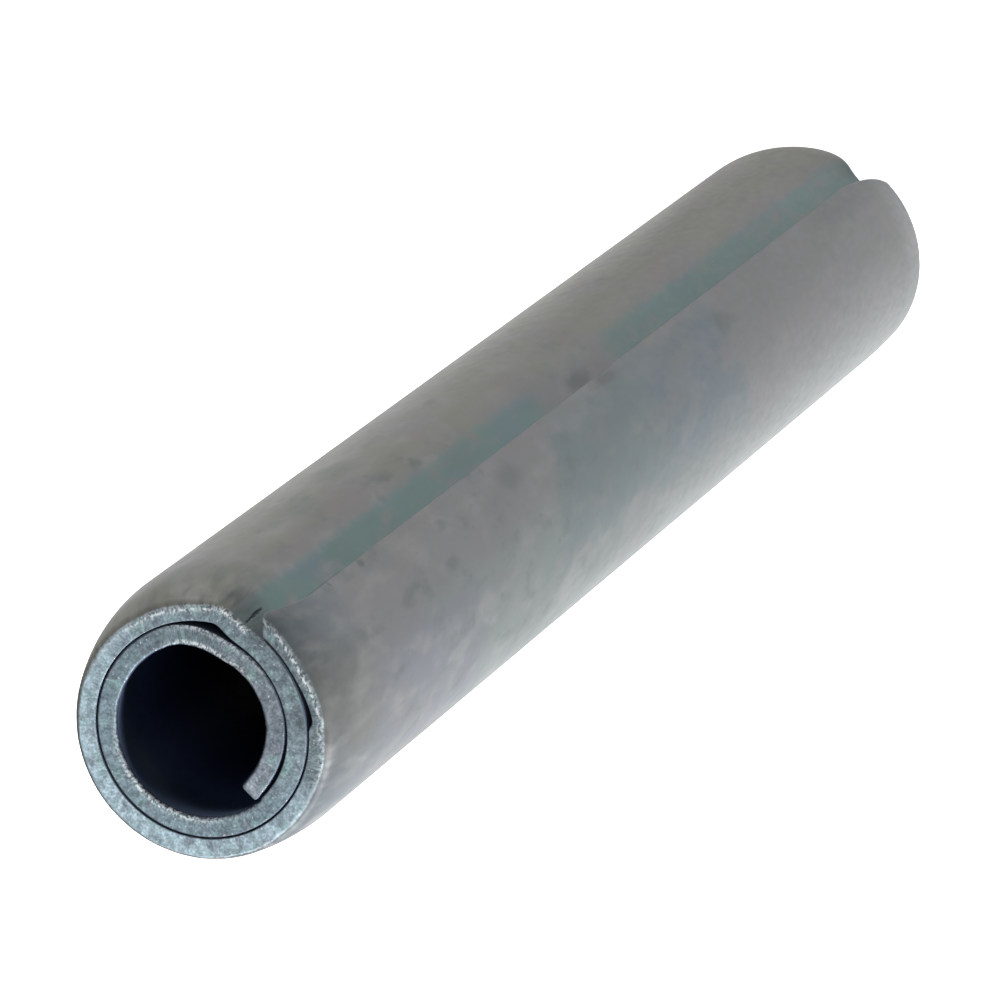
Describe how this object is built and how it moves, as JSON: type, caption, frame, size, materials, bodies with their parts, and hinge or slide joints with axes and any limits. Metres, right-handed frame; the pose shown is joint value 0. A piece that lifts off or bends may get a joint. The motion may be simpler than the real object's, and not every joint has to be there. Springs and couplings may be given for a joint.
{
  "type": "coiled spring pin",
  "caption": "Hollow spring pin rolled from a steel strip, with swaged lead-in ends. It is driven into a plain drilled hole and grips it by closing up.",
  "frame": {"origin": "middle of the lower end face, on the axis of the round outer wall", "axes": "+Z along the pin's axis, towards the upper end; the middle of the seam lies halfway between +X and +Y; seen from +Z the strip winds inwards clockwise"},
  "size_m": [0.0054, 0.0054, 0.04],
  "materials": {
    "spring_steel": "dull grey hardened spring steel, lightly oiled, with a blue-green cast on the cut ends and faint draw marks"
  },
  "bodies": {
    "root": {"coiled_pin": "spring_steel"}
  },
  "joints": []
}
